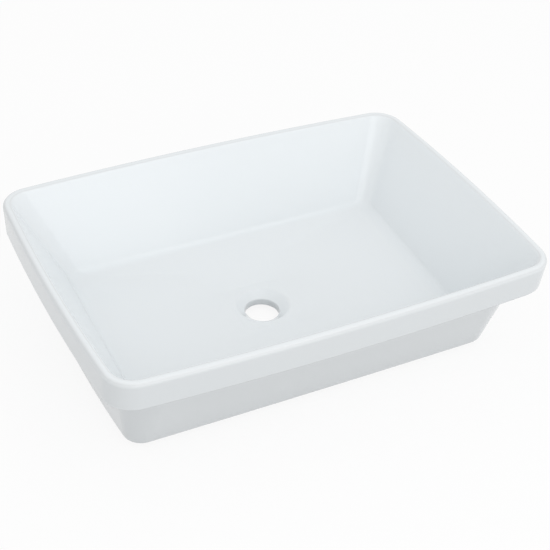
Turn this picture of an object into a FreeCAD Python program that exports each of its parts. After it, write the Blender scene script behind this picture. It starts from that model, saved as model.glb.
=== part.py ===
"""Worktop basin in glazed china, 600 x 430 mm, with a round waste hole and no tap deck.

The basin is built up the way the clay body is: a bowl with its rim, an apron-like skirt with
the ledge that rests on the worktop, a tapered lower wall that turns in to an open base, a ring
that thickens the floor under the waste hole, and a bare foot. They are stuck together face to
face and fired as one body.

Every wall is a loft through rings. A ring is a rounded rectangle with slightly bulging sides.

Millimetres. X runs along the basin, Y from front to back, Z up.
The origin is on the surface that the foot stands on, under the middle of the rim.
"""
import FreeCAD
import Part

import os
from collections import namedtuple
from math import atan2, cos, hypot, pi, radians, sin, tan

from FreeCAD import Vector

# ---- overall ----
basin_length = 600.0          # over the middles of the two ends
basin_width = 430.0           # over the middles of the front and the back
rim_height = 160.0            # rim above the surface that the basin stands on

# ---- rim and skirt ----
rim_width = 10.0              # from the outside of the rim to the bowl's mouth
rim_corner = 38.0             # corner radius of the rim, seen from above
rim_outer_round = 5.0
rim_inner_round = 6.0
lip_depth = 9.0               # depth of the rim that belongs to the bowl
skirt_height = 42.0           # rim to the ledge
skirt_end_draft = 1.0         # how far each end of the skirt leans in at its foot
skirt_side_draft = 5.0        # the same at the front and the back
skirt_edge_round = 2.5
skirt_wall = 4.0              # thickness of the skirt
ledge_thickness = 3.0
rim_turns = (3.2, 3.4)        # degrees that a long and a short side curve, from middle to corner

# ---- bowl ----
end_wall_lean = 28.6          # degrees from upright, left and right walls
side_wall_lean = 32.4         # degrees from upright, front and back walls
floor_line_height = 43.6      # height of the line where the walls meet the floor, in the middle
floor_tilt = 4.2              # degrees that this line falls from the back to the front
floor_corner = 19.0           # corner radius where the walls meet the floor
floor_cove = 17.0             # radius between the walls and the floor
wall_at_lip = 6.0             # thickness of the bowl's wall, measured level, under the lip
wall_at_floor = 9.0           # the same at the floor line, and the floor's own thickness

# ---- waste ----
waste_offset = 14.0           # waste hole behind the middle of the basin
bore_radius = 23.0            # 46 mm hole for a standard waste
bore_length = 9.4
bore_edge_round = 2.0
recess_radius = 36.0          # dished seat round the hole
recess_depth = 9.6
recess_edge_round = 8.0
land_width = 8.0              # from the dished seat to where the floor begins to rise
seat_height = 7.0             # underside of the waste hole above the standing surface
seat_radius = 44.0            # flat ring under the hole for the waste's washer
seat_ring_height = 4.0

# ---- lower wall, base and foot ----
lower_wall = 8.0              # thickness, measured level
ledge_width = 24.0            # from the rim's outside to the lower wall
ledge_corner = 54.0           # corner radius of the lower wall at the ledge
ledge_cove = 14.0             # radius between the ledge and the lower wall
seam_below_ledge = 24.0       # where the lower wall is stuck to the bowl
hollow_start = 14.0           # below the seam, where the lower wall has come down to its thickness
hollow_corner = 32.0          # corner radius inside the lower wall
base_end_inset = 43.0         # base inside the rim at each end
base_side_inset = 68.3        # base inside the rim at the front and the back
base_corner = 22.0
base_round = 13.0             # rounding of the base's outer edge
base_width = 50.0             # how far the base turns in from the lower wall's outside
opening_corner = 30.0         # corner radius of the opening in the base
lower_turns = (0.5, 3.9)      # degrees that a long and a short side curve, from middle to corner
foot_height = 2.4
foot_width = 12.0
foot_inset = 16.0             # foot inside the lower wall's outside, at the base
foot_corner = 8.0             # inner corner radius of the foot

# ---- how finely the roundings are divided ----
rim_steps = 4
cove_steps = 5
edge_steps = 3
hidden_steps = 2
wall_bands = 4
close = 0.001                 # distance that counts as none

# ---- levels that follow from these ----
lip_height = rim_height - lip_depth
ledge_height = rim_height - skirt_height
seam_height = ledge_height - seam_below_ledge
bore_top = seat_height + bore_length
recess_top = bore_top + recess_depth
ring_top = seat_height + seat_ring_height

# Half sizes are measured at the middles of the sides. The turns are the degrees that a long and a
# short side curve from their middle to their corner. Shift is the centre's distance toward the
# back, and tilt is how many degrees the ring rises toward the back.
Ring = namedtuple("Ring", "half_length half_width corner height long_turn short_turn shift tilt",
                  defaults=(0.0, 0.0, 0.0, 0.0))


def bend(start, middle, end):
    """Arc through three points, or the straight line that they lie on."""
    if (middle - start).cross(end - middle).Length < close ** 2:
        return Part.LineSegment(start, end).toShape()
    return Part.Arc(start, middle, end).toShape()


def outline(ring):
    """A ring's closed line: four side arcs and four corner arcs, each smoothly into the next."""
    side_bulge = tan(radians(ring.long_turn / 2))
    end_bulge = tan(radians(ring.short_turn / 2))
    reach_x, reach_y = ring.half_length - ring.corner, ring.half_width - ring.corner
    corner_x = (reach_x - end_bulge * reach_y) / (1 - side_bulge * end_bulge)
    corner_y = reach_y - side_bulge * corner_x
    quarter = []
    for angle in (ring.short_turn, 45 + (ring.short_turn - ring.long_turn) / 2, 90 - ring.long_turn):
        quarter.append((corner_x + ring.corner * cos(radians(angle)),
                        corner_y + ring.corner * sin(radians(angle))))
    half = [(ring.half_length, 0)] + quarter + [(0, ring.half_width)] + [(-x, y) for x, y in quarter[::-1]]
    points = [Vector(x, y + ring.shift, ring.height) for x, y in half + [(-x, -y) for x, y in half]]
    line = Part.Wire([bend(points[k - 1], points[k], points[k + 1]) for k in range(0, len(points), 2)])
    line.rotate(Vector(0, 0, ring.height), Vector(1, 0, 0), ring.tilt)
    return line


def flattened(face):
    """A flat face with straight edges, remade as a true plane."""
    straight = all(edge.Length - edge.Vertexes[0].Point.distanceToPoint(edge.Vertexes[1].Point) < close ** 2
                   for edge in face.Edges)
    if not (straight and face.findPlane(close)):
        return face
    corners = [vertex.Point for vertex in face.OuterWire.OrderedVertexes]
    return Part.Face(Part.makePolygon(corners + corners[:1]))


def loft(rings):
    """Solid with a wall from each ring to the next."""
    walls = Part.makeLoft([outline(ring) for ring in rings], True, True).Faces
    shell = Part.Shell([flattened(face) for face in walls])
    shell.sewShape()
    return Part.Solid(shell)


def mix(rings, shares):
    """Ring whose sizes are the shared-out mean of the given rings' sizes."""
    return Ring(*[sum(size * share for size, share in zip(sizes, shares)) / sum(shares)
                  for sizes in zip(*rings)])


def grown(ring, level):
    """Parallel ring, further out by a level distance."""
    return ring._replace(half_length=ring.half_length + level, half_width=ring.half_width + level,
                         corner=ring.corner + level)


def at_height(upper, lower, height):
    """Ring at a height on the wall between two rings."""
    down = (upper.height - height) / (upper.height - lower.height)
    return mix((upper, lower), (1 - down, down))


def rounded(before, corner, after, radius, steps):
    """Rings that take a wall round the corner between two others, along an arc."""
    before_out, before_up = before.half_width - corner.half_width, before.height - corner.height
    after_out, after_up = after.half_width - corner.half_width, after.height - corner.height
    turn = abs(atan2(before_out * after_up - before_up * after_out,
                     before_out * after_out + before_up * after_up))
    half_bend = (pi - turn) / 2
    reach = radius * tan(half_bend)
    share_before = reach / hypot(before_out, before_up)
    share_after = reach / hypot(after_out, after_up)
    start = mix((corner, before), (1 - share_before, share_before))
    end = mix((corner, after), (1 - share_after, share_after))
    rings = []
    for step in range(steps + 1):
        part = step / steps
        shares = ((1 - part) ** 2, 2 * part * (1 - part) * cos(half_bend), part ** 2)
        rings.append(mix((start, corner, end), shares))
    return rings


# ---- the rings where walls meet ----
rim = Ring(basin_length / 2, basin_width / 2, rim_corner, rim_height, *rim_turns)
skirt_foot = Ring(basin_length / 2 - skirt_end_draft, basin_width / 2 - skirt_side_draft,
                  rim_corner - skirt_end_draft, ledge_height, *rim_turns)
lip_line = at_height(rim, skirt_foot, lip_height)
mouth = grown(rim, -rim_width)
ledge_line = Ring(basin_length / 2 - ledge_width, basin_width / 2 - ledge_width,
                  ledge_corner, ledge_height, *lower_turns)
base_line = Ring(basin_length / 2 - base_end_inset, basin_width / 2 - base_side_inset,
                 base_corner, foot_height, *lower_turns)
seam_line = at_height(ledge_line, base_line, seam_height)


def bowl_line(height, tilt=0.0):
    """Where a level or a falling plane cuts the bowl's walls, all of which keep their lean."""
    depth = rim_height - height
    down = depth / (rim_height - floor_line_height)
    side_slope = tan(radians(side_wall_lean))
    half_length = mouth.half_length - depth * tan(radians(end_wall_lean))
    half_width = mouth.half_width - depth * side_slope
    lift = tan(radians(tilt)) * side_slope
    half_width /= (1 - lift ** 2) * cos(radians(tilt))
    corner = mouth.corner + (floor_corner - mouth.corner) * down
    return Ring(half_length, half_width, corner, height, mouth.long_turn * (1 - down),
                mouth.short_turn * (1 - down), half_width * lift, tilt)


def block_line(height):
    """Level ring on the outside of the bowl's wall, which thickens downward."""
    down = (lip_height - height) / (lip_height - floor_line_height)
    return grown(bowl_line(height), wall_at_lip + (wall_at_floor - wall_at_lip) * down)


def waste_square(half, height):
    """Rounded square round the waste hole, with straight sides."""
    return Ring(half, half, floor_corner, height, shift=waste_offset)


floor_line = bowl_line(floor_line_height, floor_tilt)
land = waste_square(recess_radius + land_width, recess_top)


def waste_plug(radius, low, high):
    return Part.makeCylinder(radius, high - low, Vector(0, waste_offset, low))


def round_circle(shape, radius, height, rounding):
    """Round the circular edge that has a radius and lies at a height."""
    for edge in shape.Edges:
        box = edge.BoundBox
        if max(box.ZLength, abs(box.ZMin - height), abs(box.XMax - radius)) < close:
            return shape.makeFillet(rounding, [edge])


def make_room():
    """The room inside the bowl: walls, coved floor, dished seat and the bore through the floor."""
    wall_above = bowl_line(floor_line_height + floor_cove, floor_tilt)
    cove = rounded(wall_above._replace(long_turn=0.0, short_turn=0.0, corner=floor_corner),
                   floor_line, land, floor_cove, cove_steps)
    brow = rounded(rim, mouth, cove[0], rim_inner_round, rim_steps)
    wall = [mix((brow[-1], cove[0]), (wall_bands - band, band)) for band in range(1, wall_bands)]
    room = loft(brow + wall + cove + [land])
    dish = Part.makeCone(bore_radius, recess_radius, recess_depth, Vector(0, waste_offset, bore_top))
    room = room.fuse([dish, waste_plug(bore_radius, ring_top, bore_top)])
    room = round_circle(room, recess_radius, recess_top, recess_edge_round)
    return round_circle(room, bore_radius, bore_top, bore_edge_round)


ledge_cove_rings = rounded(grown(ledge_line, ledge_width), ledge_line, base_line,
                           ledge_cove, edge_steps)
ledge_inside = ledge_cove_rings[0]
ledge_inside_top = ledge_inside._replace(height=ledge_height + ledge_thickness)


def behind_skirt(height):
    """Ring on the back of the skirt, where it is stuck to the bowl."""
    return grown(at_height(rim, skirt_foot, height), -skirt_wall)


def make_core():
    """Clay of the bowl behind the skirt."""
    return loft([behind_skirt(lip_height), behind_skirt(ledge_inside_top.height)])


def make_bowl():
    """Inner casting: rim, walls, floor with the dished waste seat, and the thick patch under it."""
    lip = loft([lip_line] + rounded(skirt_foot, rim, mouth, rim_outer_round, rim_steps))
    collar = loft([ledge_inside_top] + ledge_cove_rings + [seam_line])
    outer_floor_line = grown(floor_line, wall_at_floor)._replace(height=floor_line_height - wall_at_floor)
    underside = grown(waste_square(seat_radius, recess_top - wall_at_floor), wall_at_floor)
    lower = loft([block_line(seam_height), outer_floor_line, underside._replace(tilt=floor_tilt)])
    patch = waste_plug(seat_radius, ring_top, recess_top)
    return lip.fuse([make_core(), collar, lower, patch]).cut(make_room())


def make_skirt():
    """Apron under the rim, turned in at its foot to the flat ledge."""
    apron = loft([lip_line] + rounded(rim, skirt_foot, ledge_inside, skirt_edge_round, edge_steps))
    return apron.cut([make_core(), loft([ledge_inside_top, ledge_inside])])


def make_lower_wall():
    """Tapered outer wall that turns in to an open base, hollow between itself and the bowl."""
    base_inside = grown(base_line, -base_width)
    outside = loft([seam_line] + rounded(ledge_line, base_line, base_inside, base_round, rim_steps))

    def inside(height):
        on_wall = grown(at_height(ledge_line, base_line, height), -lower_wall)
        return on_wall._replace(corner=hollow_corner)

    hollow_top, hollow_foot = inside(seam_height - hollow_start), inside(foot_height + lower_wall)
    hollow_middle = grown(hollow_foot, lower_wall - base_width)
    hollow = loft([block_line(seam_height), hollow_top]
                  + rounded(hollow_top, hollow_foot, hollow_middle, lower_wall, hidden_steps))
    opening = grown(base_line, -base_width)._replace(corner=opening_corner)
    through = loft([opening, opening._replace(height=seam_height)])
    return outside.cut([hollow, through])


def make_seat_ring():
    """Ring stuck on under the waste hole, flat below for the waste's washer."""
    return waste_plug(seat_radius, seat_height, ring_top).cut(waste_plug(bore_radius, seat_height, ring_top))


def make_foot():
    """Bare, ground band that the basin stands on."""
    outside = grown(base_line, -foot_inset)._replace(corner=foot_corner + foot_width, height=0.0)
    inside = grown(outside, -foot_width)

    def prism(ring):
        return Part.Face(outline(ring)).extrude(Vector(0, 0, foot_height))

    return prism(outside).cut(prism(inside))


parts = {
    "bowl": make_bowl(),
    "skirt": make_skirt(),
    "lower_wall": make_lower_wall(),
    "waste_seat_ring": make_seat_ring(),
    "foot": make_foot(),
}

os.makedirs("parts", exist_ok=True)
for name, shape in parts.items():
    shape.exportStep(f"parts/{name}.step")
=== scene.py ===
"""Worktop basin in white glazed china, on a white studio floor.

Every visible piece is a wall swept through rings, as the clay body is. A ring is a rounded
rectangle with slightly bulging sides, or a circle at the waste hole. Metres, +Z up.
"""

from collections import namedtuple
from math import atan2, cos, hypot, pi, radians, sin, tan

import bpy
from mathutils import Matrix, Vector


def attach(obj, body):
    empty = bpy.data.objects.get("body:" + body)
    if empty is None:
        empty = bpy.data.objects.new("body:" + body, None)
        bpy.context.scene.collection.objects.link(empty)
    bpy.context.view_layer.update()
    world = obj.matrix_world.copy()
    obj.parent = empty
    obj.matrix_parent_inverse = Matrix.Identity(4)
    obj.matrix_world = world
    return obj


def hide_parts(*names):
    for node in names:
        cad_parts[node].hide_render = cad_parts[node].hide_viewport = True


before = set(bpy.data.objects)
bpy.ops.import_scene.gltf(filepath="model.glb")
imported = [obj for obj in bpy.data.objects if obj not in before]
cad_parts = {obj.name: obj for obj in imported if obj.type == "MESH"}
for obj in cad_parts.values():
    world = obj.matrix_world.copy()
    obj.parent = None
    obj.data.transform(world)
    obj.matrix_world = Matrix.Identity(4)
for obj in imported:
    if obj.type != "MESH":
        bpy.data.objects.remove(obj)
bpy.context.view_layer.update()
scene = bpy.context.scene

# ---- overall ----
basin_length = 0.600
basin_width = 0.430
rim_height = 0.160

# ---- rim and skirt ----
rim_width = 0.010
rim_corner = 0.038
rim_outer_round = 0.005
rim_inner_round = 0.006
lip_depth = 0.009
skirt_height = 0.042
skirt_end_draft = 0.001
skirt_side_draft = 0.005
skirt_edge_round = 0.0025
skirt_wall = 0.004
ledge_thickness = 0.003
rim_turns = (radians(3.2), radians(3.4))

# ---- bowl ----
end_wall_lean = radians(28.6)
side_wall_lean = radians(32.4)
floor_line_height = 0.0436
floor_tilt = radians(4.2)
floor_corner = 0.019
floor_cove = 0.017
floor_blend = 0.055           # how much rounder the floor's corners get half way to the waste
floor_steps = 12              # steps in the floor from the cove to the flat land round the waste
wall_at_lip = 0.006
wall_at_floor = 0.009

# ---- waste ----
waste_offset = 0.014
bore_radius = 0.023
bore_length = 0.0094
bore_edge_round = 0.002
recess_radius = 0.036
recess_depth = 0.0096
recess_edge_round = 0.008
land_width = 0.008
seat_height = 0.007
seat_radius = 0.044
seat_ring_height = 0.004

# ---- lower wall, base and foot ----
lower_wall = 0.008
ledge_width = 0.024
ledge_corner = 0.054
ledge_cove = 0.014
seam_below_ledge = 0.024
hollow_start = 0.014
hollow_corner = 0.032
hollow_cove = 0.004           # clay that runs together where the lower wall meets the bowl
base_end_inset = 0.043
base_side_inset = 0.0683
base_corner = 0.022
base_round = 0.013
base_width = 0.050
base_edge_round = 0.0025
opening_corner = 0.030
lower_turns = (radians(0.5), radians(3.9))
foot_height = 0.0024
foot_width = 0.012
foot_inset = 0.016
foot_corner = 0.008
foot_edge_round = 0.0007

# ---- levels that follow from these ----
lip_height = rim_height - lip_depth
ledge_height = rim_height - skirt_height
seam_height = ledge_height - seam_below_ledge
bore_top = seat_height + bore_length
recess_top = bore_top + recess_depth
ring_top = seat_height + seat_ring_height

# Half sizes are measured at the middles of the sides. The turns are how far a long and a short
# side curve from their middle to their corner. Circle goes from 0, a rounded rectangle, to 1.
# Glaze is its thickness: 1 on plain walls, less where it draws off an edge, more where it pools. Where it is
# thin the material also paints shade.
Ring = namedtuple("Ring", "half_length half_width corner height long_turn short_turn shift tilt "
                          "circle crisp glaze", defaults=(0, 0, 0, 0, 0, 0, 1))
thin_glaze, dish_glaze, pooled_glaze, sprayed_glaze = 0.4, 0.8, 1.6, 0.1


# ---- the ring rule ----
def mix(rings, shares):
    """Ring whose sizes are the shared-out mean of the given rings' sizes."""
    return Ring(*[sum(size * share for size, share in zip(sizes, shares)) / sum(shares)
                  for sizes in zip(*rings)])


def grown(ring, level):
    """Parallel ring, further out by a level distance."""
    return ring._replace(half_length=ring.half_length + level, half_width=ring.half_width + level,
                         corner=ring.corner + level)


def at_height(upper, lower, height):
    """Ring at a height on the wall between two rings."""
    down = (upper.height - height) / (upper.height - lower.height)
    return mix((upper, lower), (1 - down, down))


def rounded(before, corner, after, radius, steps, glaze=1):
    """Rings that take a wall round the corner between two others, along an arc."""
    before_out, before_up = before.half_width - corner.half_width, before.height - corner.height
    after_out, after_up = after.half_width - corner.half_width, after.height - corner.height
    turn = abs(atan2(before_out * after_up - before_up * after_out,
                     before_out * after_out + before_up * after_up))
    half_bend = (pi - turn) / 2
    reach = radius * tan(half_bend)
    share_before = reach / hypot(before_out, before_up)
    share_after = reach / hypot(after_out, after_up)
    start = mix((corner, before), (1 - share_before, share_before))
    end = mix((corner, after), (1 - share_after, share_after))
    rings = []
    for step in range(steps + 1):
        part = step / steps
        shares = ((1 - part) ** 2, 2 * part * (1 - part) * cos(half_bend), part ** 2)
        middle = 1 - abs(2 * part - 1)
        ring = mix((start, corner, end), shares)
        rings.append(ring._replace(crisp=0, glaze=1 + (glaze - 1) * middle))
    return rings


def crisp(*rings):
    """The same rings with a sharp edge along them, where one piece of clay meets the next."""
    return [ring._replace(crisp=1) for ring in rings]


def disc(radius, height, tilt=0, glaze=1):
    """Circle round the waste hole."""
    corner = radius * floor_corner / (recess_radius + land_width)
    return Ring(radius, radius, corner, height, shift=waste_offset, tilt=tilt, circle=1, glaze=glaze)


def waste_square(half, height):
    """Rounded square round the waste hole."""
    return Ring(half, half, floor_corner, height, shift=waste_offset)


# How many rings go between two that lie less than this far apart, and how many at most.
rings_between = ((0.002, 0), (0.006, 3), (0.02, 6))
most_between = 12


def filled(rings):
    """Closed loop of rings, with more of them between two that lie far apart, close at both ends."""
    loop = []
    for ring, following in zip(rings, rings[1:] + rings[:1]):
        loop.append(ring)
        apart = max(hypot(ring.half_length - following.half_length, ring.height - following.height),
                    hypot(ring.half_width - following.half_width, ring.height - following.height))
        between = next((count for limit, count in rings_between if apart < limit), most_between)
        for step in range(1, between + 1):
            part = (1 - cos(pi * step / (between + 1))) / 2
            loop.append(mix((ring, following), (1 - part, part))._replace(crisp=0))
    return loop


rim = Ring(basin_length / 2, basin_width / 2, rim_corner, rim_height, *rim_turns)
skirt_foot = Ring(basin_length / 2 - skirt_end_draft, basin_width / 2 - skirt_side_draft,
                  rim_corner - skirt_end_draft, ledge_height, *rim_turns)
lip_line = at_height(rim, skirt_foot, lip_height)
mouth = grown(rim, -rim_width)
ledge_line = Ring(basin_length / 2 - ledge_width, basin_width / 2 - ledge_width,
                  ledge_corner, ledge_height, *lower_turns)
base_line = Ring(basin_length / 2 - base_end_inset, basin_width / 2 - base_side_inset,
                 base_corner, foot_height, *lower_turns)
seam_line = at_height(ledge_line, base_line, seam_height)
ledge_cove_rings = rounded(grown(ledge_line, ledge_width), ledge_line, base_line, ledge_cove, 10,
                           pooled_glaze)
ledge_inside = ledge_cove_rings[0]
ledge_inside_top = ledge_inside._replace(height=ledge_height + ledge_thickness)


def bowl_line(height, tilt=0):
    """Where a level or a falling plane cuts the bowl's walls, all of which keep their lean."""
    depth = rim_height - height
    down = depth / (rim_height - floor_line_height)
    side_slope = tan(side_wall_lean)
    half_length = mouth.half_length - depth * tan(end_wall_lean)
    half_width = mouth.half_width - depth * side_slope
    lift = tan(tilt) * side_slope
    half_width /= (1 - lift ** 2) * cos(tilt)
    corner = mouth.corner + (floor_corner - mouth.corner) * down
    return Ring(half_length, half_width, corner, height, mouth.long_turn * (1 - down),
                mouth.short_turn * (1 - down), half_width * lift, tilt)


def block_line(height):
    """Level ring on the outside of the bowl's wall, which thickens downward."""
    down = (lip_height - height) / (lip_height - floor_line_height)
    return grown(bowl_line(height), wall_at_lip + (wall_at_floor - wall_at_lip) * down)


def behind_skirt(height):
    """Ring on the back of the skirt, where it is stuck to the bowl."""
    return grown(at_height(rim, skirt_foot, height), -skirt_wall)


def bowl_rings():
    """Over the rim, down the walls and the floor, through the waste hole and back underneath."""
    floor_line = bowl_line(floor_line_height, floor_tilt)
    land = waste_square(recess_radius + land_width, recess_top)
    wall_above = bowl_line(floor_line_height + floor_cove, floor_tilt)
    cove = rounded(wall_above._replace(long_turn=0, short_turn=0, corner=floor_corner),
                   floor_line, land, floor_cove, 12, pooled_glaze)
    lip = rounded(skirt_foot, rim, mouth, rim_outer_round, 8, thin_glaze)
    brow = rounded(rim, mouth, cove[0], rim_inner_round, 8, thin_glaze)
    floor = []
    for step in range(1, floor_steps):
        part = step / floor_steps
        ring = mix((cove[-1], land), (1 - part, part))
        floor.append(ring._replace(corner=ring.corner + floor_blend * sin(pi * part) ** 2))
    dish_edge = rounded(disc(recess_radius + land_width / 2, recess_top),
                        disc(recess_radius, recess_top), disc(bore_radius, bore_top),
                        recess_edge_round, 6, dish_glaze)
    bore_edge = rounded(disc(recess_radius, recess_top), disc(bore_radius, bore_top),
                        disc(bore_radius, ring_top), bore_edge_round, 8, thin_glaze)
    bore_foot = disc(bore_radius, ring_top)
    patch_foot = disc(seat_radius, ring_top, glaze=sprayed_glaze)
    patch_top = disc(seat_radius, recess_top - wall_at_floor, floor_tilt, sprayed_glaze)
    outer_floor = grown(floor_line, wall_at_floor)._replace(height=floor_line_height - wall_at_floor)
    underside = grown(waste_square(seat_radius, recess_top - wall_at_floor), wall_at_floor)
    underside = underside._replace(tilt=floor_tilt)
    bilge = rounded(underside, outer_floor, block_line(seam_height), floor_cove, 6)
    below = [ring._replace(glaze=sprayed_glaze) for ring in [underside] + bilge]
    joint = block_line(seam_height)._replace(glaze=sprayed_glaze)
    behind = crisp(ledge_inside, ledge_inside_top, behind_skirt(ledge_inside_top.height),
                   behind_skirt(lip_height))
    return (crisp(lip_line) + lip + brow + cove + floor + [land] + dish_edge + bore_edge
            + crisp(bore_foot, patch_foot) + [patch_top] + below + crisp(joint, seam_line)
            + ledge_cove_rings[::-1] + behind)


def skirt_rings():
    """Down the back of the skirt inside the clay, then out under the ledge and up the outside."""
    behind = crisp(behind_skirt(lip_height), behind_skirt(ledge_inside_top.height),
                   ledge_inside_top, ledge_inside)
    edge = rounded(ledge_inside, skirt_foot, rim, skirt_edge_round, 8, thin_glaze)
    return behind + edge + crisp(lip_line)


def lower_wall_rings():
    """Down the inside of the hollow, round the opening and up the outside to the bowl."""
    def inside(height):
        on_wall = grown(at_height(ledge_line, base_line, height), -lower_wall)
        return on_wall._replace(corner=hollow_corner)

    opening = grown(base_line, -base_width)._replace(corner=opening_corner)
    opening_top = opening._replace(height=foot_height + lower_wall)
    hollow_top, hollow_foot = inside(seam_height - hollow_start), inside(foot_height + lower_wall)
    joint = block_line(seam_height)
    on_bowl = block_line(seam_height - hollow_start)
    hollow = rounded(on_bowl, joint, hollow_top, hollow_cove, 4)
    hollow += rounded(hollow_top, hollow_foot, opening_top, lower_wall, 6)
    hollow += rounded(hollow_foot, opening_top, opening, base_edge_round, 6)
    hollow += rounded(opening_top, opening, base_line, base_edge_round, 6)
    hollow = [ring._replace(glaze=sprayed_glaze) for ring in hollow]
    outside = rounded(opening, base_line, ledge_line, base_round, 12)
    return crisp(joint) + hollow + outside + crisp(seam_line)


def seat_rings():
    """Ring under the waste hole, flat below for the waste's washer."""
    top_inside, top_outside = disc(bore_radius, ring_top), disc(seat_radius, ring_top)
    foot_inside, foot_outside = disc(bore_radius, seat_height), disc(seat_radius, seat_height)
    inner_edge = rounded(top_inside, foot_inside, foot_outside, bore_edge_round / 2, 5)
    outer_edge = rounded(foot_inside, foot_outside, top_outside, bore_edge_round / 2, 5)
    return crisp(top_inside) + inner_edge + outer_edge + crisp(top_outside)


def foot_rings():
    """Bare band under the base, ground flat, with its edges just taken off."""
    outside = grown(base_line, -foot_inset)._replace(corner=foot_corner + foot_width)
    inside = grown(outside, -foot_width)
    outside_foot, inside_foot = outside._replace(height=0), inside._replace(height=0)
    inner_edge = rounded(inside, inside_foot, outside_foot, foot_edge_round, 4)
    outer_edge = rounded(inside_foot, outside_foot, outside, foot_edge_round, 4)
    return crisp(inside) + inner_edge + outer_edge + crisp(outside)


# ---- node trees written as arithmetic ----
class Wire:
    """A socket of a node tree. Arithmetic on it adds the tree's own Math nodes."""

    def __init__(self, tree, socket):
        self.tree, self.socket = tree, socket

    def math(self, operation, first, second=0.0):
        return self.tree.node("ShaderNodeMath", {"operation": operation}, {0: first, 1: second})

    def __add__(self, other):
        return self.math("ADD", self, other)

    def __radd__(self, other):
        return self.math("ADD", other, self)

    def __sub__(self, other):
        return self.math("SUBTRACT", self, other)

    def __rsub__(self, other):
        return self.math("SUBTRACT", other, self)

    def __mul__(self, other):
        return self.math("MULTIPLY", self, other)

    def __rmul__(self, other):
        return self.math("MULTIPLY", other, self)

    def __truediv__(self, other):
        return self.math("DIVIDE", self, other)

    def __mod__(self, other):
        return self.math("MODULO", self, other)

    def __pow__(self, other):
        return self.math("POWER", self, other)

    def __gt__(self, other):
        return self.math("GREATER_THAN", self, other)

    def __lt__(self, other):
        return self.math("LESS_THAN", self, other)

    def clamped(self):
        return self.math("MINIMUM", self.math("MAXIMUM", self, 0.0), 1.0)

    def floor(self):
        return self.math("FLOOR", self)

    def sine(self):
        return self.math("SINE", self)

    def cosine(self):
        return self.math("COSINE", self)


class Tree:
    """A node tree, and the one way in which a node is added to it."""

    def __init__(self, nodes):
        self.nodes = nodes

    def node(self, kind, settings=None, feeds=None, output=0):
        """Adds a node, makes its settings, feeds its sockets and gives back one of its outputs."""
        node = self.nodes.nodes.new(kind)
        for name, value in (settings or {}).items():
            setattr(node, name, value)
        sockets = {socket.identifier: socket for socket in node.inputs}
        for name, value in (feeds or {}).items():
            socket = sockets[name] if name in sockets else node.inputs[name]
            if isinstance(value, Wire):
                self.nodes.links.new(value.socket, socket)
            else:
                socket.default_value = value
        return Wire(self, node.outputs[output]) if node.outputs else None


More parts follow.
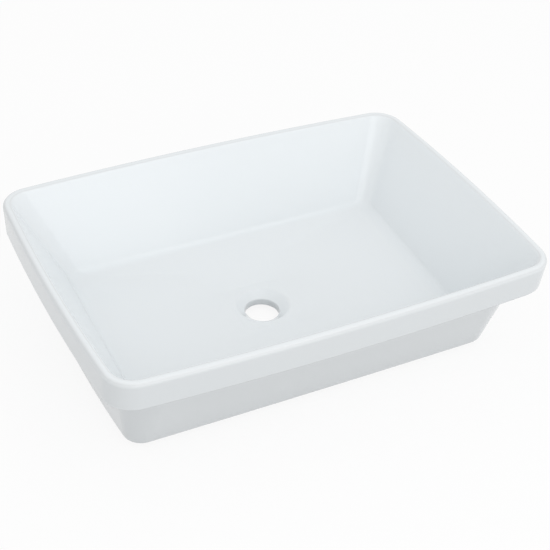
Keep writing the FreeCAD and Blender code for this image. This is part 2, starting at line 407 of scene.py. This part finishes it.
# ---- the sweep that makes every piece ----
def sweep_tree():
    """Geometry Nodes: turns one point per ring into the closed wall through all the rings."""
    group = bpy.data.node_groups.new("wall through rings", "GeometryNodeTree")
    face = group.interface
    face.new_socket("Rings", in_out="INPUT", socket_type="NodeSocketGeometry")
    for name in ("Ring count", "End columns", "Corner columns", "Side columns"):
        face.new_socket(name, in_out="INPUT", socket_type="NodeSocketInt")
    face.new_socket("Column easing", in_out="INPUT", socket_type="NodeSocketFloat")
    face.new_socket("Material", in_out="INPUT", socket_type="NodeSocketMaterial")
    face.new_socket("Wall", in_out="OUTPUT", socket_type="NodeSocketGeometry")
    tree = Tree(group)
    entry = group.nodes.new("NodeGroupInput")
    rings, count, ends, corners, sides, easing, material = [Wire(tree, entry.outputs[k]) for k in range(7)]

    quarter = ends + corners + sides
    columns = 4 * quarter
    grid = tree.node("GeometryNodeMeshGrid", {}, {"Size X": columns, "Size Y": count,
                                                  "Vertices X": columns + 1, "Vertices Y": count + 1})
    where = tree.node("GeometryNodeInputPosition")
    place = group.nodes.new("ShaderNodeSeparateXYZ")
    group.links.new(where.socket, place.inputs[0])
    column = (Wire(tree, place.outputs["X"]) + columns / 2 + 0.5).floor()
    row = (Wire(tree, place.outputs["Y"]) + count / 2 + 0.5).floor() % count

    def of_ring(field):
        """A size of the ring that this point is on."""
        size = tree.node("GeometryNodeInputNamedAttribute", {"data_type": "FLOAT"}, {"Name": field})
        return tree.node("GeometryNodeSampleIndex", {"data_type": "FLOAT", "domain": "POINT"},
                         {"Geometry": rings, "Value": size, "Index": row})

    half_length, half_width, corner = of_ring("half_length"), of_ring("half_width"), of_ring("corner")
    least_turn = 0.0005
    long_turn = of_ring("long_turn") + least_turn
    short_turn = of_ring("short_turn") + least_turn

    side_bulge = (long_turn / 2).sine() / (long_turn / 2).cosine()
    end_bulge = (short_turn / 2).sine() / (short_turn / 2).cosine()
    reach_y = half_width - corner
    centre_x = (half_length - corner - end_bulge * reach_y) / (1 - side_bulge * end_bulge)
    centre_y = reach_y - side_bulge * centre_x

    turned = (column / quarter).floor()
    local = column - turned * quarter
    local = local + (turned % 2) * (quarter - 2 * local)
    along_end = 1 - (1 - (local / ends).clamped()) ** easing
    along_corner = ((local - ends) / corners).clamped()
    along_side = 1 - (1 - ((quarter - local) / sides).clamped()) ** easing

    end_top = centre_y + corner * short_turn.sine()
    end_angle = short_turn * along_end
    end_x = half_length - end_top * (1 - end_angle.cosine()) / short_turn.sine()
    end_y = end_top * end_angle.sine() / short_turn.sine()
    angle = short_turn + (pi / 2 - long_turn - short_turn) * along_corner
    corner_x, corner_y = centre_x + corner * angle.cosine(), centre_y + corner * angle.sine()
    side_top = centre_x + corner * long_turn.sine()
    side_angle = long_turn * along_side
    side_x = side_top * side_angle.sine() / long_turn.sine()
    side_y = half_width - side_top * (1 - side_angle.cosine()) / long_turn.sine()

    on_end, on_side = local < ends, local > ends + corners
    on_corner = 1 - on_end - on_side
    x = end_x * on_end + corner_x * on_corner + side_x * on_side
    y = end_y * on_end + corner_y * on_corner + side_y * on_side
    circle = of_ring("circle")
    to_circle = 1 + circle * (half_length / (x * x + y * y) ** 0.5 - 1)
    x = x * to_circle * (1 - 2 * ((turned + 1) % 4 > 1.5))
    y = y * to_circle * (1 - 2 * (turned % 4 > 1.5)) + of_ring("shift")
    tilt = of_ring("tilt")
    point = tree.node("ShaderNodeCombineXYZ", {}, {"X": x, "Y": y * tilt.cosine(),
                                                   "Z": of_ring("height") + y * tilt.sine()})

    glaze_stored = tree.node("GeometryNodeStoreNamedAttribute", {"data_type": "FLOAT", "domain": "POINT"},
                             {"Geometry": grid, "Name": "glaze", "Value": of_ring("glaze")})
    crisp_stored = tree.node("GeometryNodeStoreNamedAttribute", {"data_type": "FLOAT", "domain": "POINT"},
                             {"Geometry": glaze_stored, "Name": "crisp", "Value": of_ring("crisp")})
    shaped = tree.node("GeometryNodeSetPosition", {}, {"Geometry": crisp_stored, "Position": point})
    same_place = 0.00001
    closed = tree.node("GeometryNodeMergeByDistance", {}, {"Geometry": shaped, "Distance": same_place})
    sharp = tree.node("GeometryNodeInputNamedAttribute", {"data_type": "FLOAT"}, {"Name": "crisp"}) > 0.99
    smooth = tree.node("GeometryNodeSetShadeSmooth", {"domain": "FACE"}, {"Geometry": closed})
    edged = tree.node("GeometryNodeSetShadeSmooth", {"domain": "EDGE"},
                      {"Geometry": smooth, "Selection": sharp, "Shade Smooth": False})
    whole = tree.node("GeometryNodeRealizeInstances", {}, {"Geometry": edged})
    coated = tree.node("GeometryNodeSetMaterial", {}, {"Geometry": whole, "Material": material})
    leave = group.nodes.new("NodeGroupOutput")
    group.links.new(coated.socket, leave.inputs[0])
    return group


def swept(name, rings, material, group):
    """Plain mesh of the closed wall through a loop of rings."""
    rings = filled(rings)
    table = bpy.data.meshes.new(name)
    table.from_pydata([(0, 0, 0)] * len(rings), [], [])
    for field in Ring._fields:
        column = table.attributes.new(field, "FLOAT", "POINT")
        column.data.foreach_set("value", [getattr(ring, field) for ring in rings])
    piece = bpy.data.objects.new(name, table)
    scene.collection.objects.link(piece)
    sweep = piece.modifiers.new("sweep", "NODES")
    sweep.node_group = group
    sizes = {"Ring count": len(rings), "End columns": 16, "Corner columns": 20, "Side columns": 20,
             "Column easing": 1.5, "Material": material}
    for socket in group.interface.items_tree:
        if socket.name in sizes:
            sweep[socket.identifier] = sizes[socket.name]
    evaluated = piece.evaluated_get(bpy.context.evaluated_depsgraph_get())
    made = bpy.data.meshes.new_from_object(evaluated)
    piece.modifiers.remove(sweep)
    piece.data = made
    made.name = name
    bpy.data.meshes.remove(table)
    return piece


# ---- finishes ----
plain_glaze = (0.858, 0.884, 0.900, 1)
deep_glaze = (0.846, 0.890, 0.912, 1)
# Painted shade mixed into the glaze colour on thin edges and sprayed undersides.
painted_edge_shade = (0.50, 0.51, 0.51, 1)
painted_shade_share = 0.7              # share of painted shade where there is no glaze left: thin rim edges and sprayed undersides darken towards it
thin_roughness = 0.30         # how much rougher it is there
stained_china = (0.60, 0.57, 0.52, 1)
clean_china = (0.80, 0.77, 0.72, 1)
bounce_paper = (0.50, 0.50, 0.50, 1)
seen_paper = (0.92, 0.92, 0.92, 1)
paper_glow = 0.88             # share of plain white in the floor where it is looked at


def new_material(name):
    material = bpy.data.materials.new(name)
    material.use_nodes = True
    material.node_tree.nodes.clear()
    return material, Tree(material.node_tree)


def tint(tree, share, low, high):
    """Colour between two others."""
    return tree.node("ShaderNodeMix", {"data_type": "RGBA"},
                     {"Factor_Float": share, "A_Color": low, "B_Color": high}, output=2)


def finish_surface(tree, shader):
    tree.node("ShaderNodeOutputMaterial", {}, {"Surface": shader})


def white_glaze(name, gloss, peel_height):
    """Opaque white glaze over china, rougher where it is thin, as on edges; there painted shade darkens its
    colour, also on sprayed undersides.
    """
    material, tree = new_material(name)
    spot = tree.node("ShaderNodeTexCoord", output=3)
    thickness = tree.node("ShaderNodeAttribute", {"attribute_name": "glaze"}, output=2)
    cloud = tree.node("ShaderNodeTexNoise", {}, {"Vector": spot, "Scale": 7.0, "Detail": 2.0})
    ripple = tree.node("ShaderNodeTexNoise", {}, {"Vector": spot, "Scale": 90.0, "Detail": 1.0})
    peel = tree.node("ShaderNodeTexNoise", {}, {"Vector": spot, "Scale": 420.0, "Detail": 2.0})
    pooled = (thickness * 0.5 + (cloud - 0.5) * 0.35).clamped()
    thinness_and_shade = (1 - thickness).clamped() ** 2
    glaze = tint(tree, pooled, plain_glaze, deep_glaze)
    # Painted shade: where the glaze is thin, the colour is mixed towards grey.
    colour = tint(tree, thinness_and_shade * painted_shade_share, glaze, painted_edge_shade)
    roughness = gloss + thin_roughness * thinness_and_shade ** 2 + 0.05 * cloud + 0.03 * peel
    bump = tree.node("ShaderNodeBump", {}, {"Strength": 1.0, "Distance": peel_height,
                                            "Height": ripple + 0.06 * peel})
    shader = tree.node("ShaderNodeBsdfPrincipled", {}, {"Base Color": colour, "Roughness": roughness,
                                                        "Normal": bump, "IOR": 1.5})
    finish_surface(tree, shader)
    return material


def bare_china(name):
    """Unglazed fired body, ground flat: matt, fine-grained, with faint stains."""
    material, tree = new_material(name)
    spot = tree.node("ShaderNodeTexCoord", output=3)
    grain = tree.node("ShaderNodeTexNoise", {}, {"Vector": spot, "Scale": 900.0, "Detail": 4.0})
    stain = tree.node("ShaderNodeTexNoise", {}, {"Vector": spot, "Scale": 18.0, "Detail": 3.0})
    colour = tint(tree, (0.6 * stain + 0.4 * grain).clamped(), stained_china, clean_china)
    bump = tree.node("ShaderNodeBump", {}, {"Strength": 1.0, "Distance": 0.00008, "Height": grain})
    shader = tree.node("ShaderNodeBsdfPrincipled", {}, {"Base Color": colour, "Normal": bump,
                                                        "Roughness": 0.70 + 0.2 * grain})
    finish_surface(tree, shader)
    return material


# ---- the pieces ----
sweep = sweep_tree()
gloss_glaze = white_glaze("gloss white glaze", 0.12, 0.000012)
lower_glaze = white_glaze("gloss white glaze, sprayed inside", 0.14, 0.000012)
wiped_glaze = white_glaze("thin wiped glaze", 0.30, 0.00004)
ground_foot = bare_china("bare ground china")
pieces = (
    ("bowl", bowl_rings(), gloss_glaze, "glaze_bowl"),
    ("skirt", skirt_rings(), gloss_glaze, "glaze_skirt"),
    ("lower_wall", lower_wall_rings(), lower_glaze, "glaze_lower"),
    ("waste_seat_ring", seat_rings(), wiped_glaze, "seat_glaze"),
    ("foot", foot_rings(), ground_foot, "bare_foot"),
)
for node, rings, material, slot in pieces:
    piece = swept(node + "_finished", rings, material, sweep)
    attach(piece, "root")
    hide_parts(node)


# ---- studio ----
def studio_floor():
    """Pale floor that keeps the basin's shadow; seen by the camera or in the glaze it is white."""
    material, tree = new_material("studio floor")
    paths = tree.nodes.nodes.new("ShaderNodeLightPath")
    seen = [Wire(tree, paths.outputs[ray]) for ray in
            ("Is Camera Ray", "Is Glossy Ray", "Is Transmission Ray")]
    looked_at = (seen[0] + seen[1] + seen[2]).clamped()
    paper = tree.node("ShaderNodeBsdfDiffuse", {}, {"Color": tint(tree, looked_at, bounce_paper, seen_paper)})
    white = tree.node("ShaderNodeEmission", {}, {"Color": (1, 1, 1, 1), "Strength": 1.0})
    share = looked_at * paper_glow
    finish_surface(tree, tree.node("ShaderNodeMixShader", {}, {"Fac": share, 1: paper, 2: white}))
    mesh = bpy.data.meshes.new("studio_floor")
    half = 6.0
    mesh.from_pydata([(-half, -half, 0), (half, -half, 0), (half, half, 0), (-half, half, 0)], [],
                     [(0, 1, 2, 3)])
    mesh.materials.append(material)
    floor = bpy.data.objects.new("studio_floor", mesh)
    scene.collection.objects.link(floor)


def studio_sky(strength):
    """Even light from all round; the camera sees it white."""
    world = bpy.data.worlds.new("studio")
    world.use_nodes = True
    world.node_tree.nodes.clear()
    tree = Tree(world.node_tree)
    paths = tree.nodes.nodes.new("ShaderNodeLightPath")
    seen = Wire(tree, paths.outputs["Is Camera Ray"])
    level = strength + seen * (1 - strength)
    sky = tree.node("ShaderNodeBackground", {}, {"Color": (1, 1, 1, 1), "Strength": level})
    tree.node("ShaderNodeOutputWorld", {}, {"Surface": sky})
    scene.world = world


def softbox(name, place, power, size=2.0):
    """Square lamp that faces the basin."""
    lamp = bpy.data.lights.new(name, "AREA")
    lamp.size, lamp.energy = size, power
    box = bpy.data.objects.new(name, lamp)
    away = Vector(place) - Vector((0, 0, rim_height - skirt_height))
    box.matrix_world = Matrix.Translation(place) @ away.to_track_quat("Z", "Y").to_matrix().to_4x4()
    scene.collection.objects.link(box)


def studio_camera():
    """Camera at the front, to the left and above, that looks down into the bowl."""
    turn, rise, roll = radians(29.159), radians(37.038), radians(3.690)
    distance, aim_right, aim_up = 1.6234, 0.00728, -0.05965
    back = Vector((-sin(turn) * cos(rise), -cos(turn) * cos(rise), sin(rise)))
    right = (-back).cross(Vector((0, 0, 1))).normalized()
    up = right.cross(-back)
    place = Vector((0, 0, rim_height)) + back * distance + right * aim_right + up * aim_up
    axes = Matrix((right * cos(roll) + up * sin(roll), up * cos(roll) - right * sin(roll), back)).transposed()
    lens = bpy.data.cameras.new("studio camera")
    lens.sensor_width, lens.lens = 36, 84.277
    lens.clip_end = 50
    camera = bpy.data.objects.new("studio camera", lens)
    camera.matrix_world = Matrix.Translation(place) @ axes.to_4x4()
    scene.collection.objects.link(camera)
    scene.camera = camera


studio_floor()
studio_sky(0.81)
softbox("front box, high", (0, -1.30, 2.35), 5)
softbox("front box, low", (0, -2.36, 1.20), 11.5)
softbox("right front box", (1.00, -1.43, 2.03), 2.5, size=0.9)
studio_camera()
scene.view_settings.view_transform = "Standard"
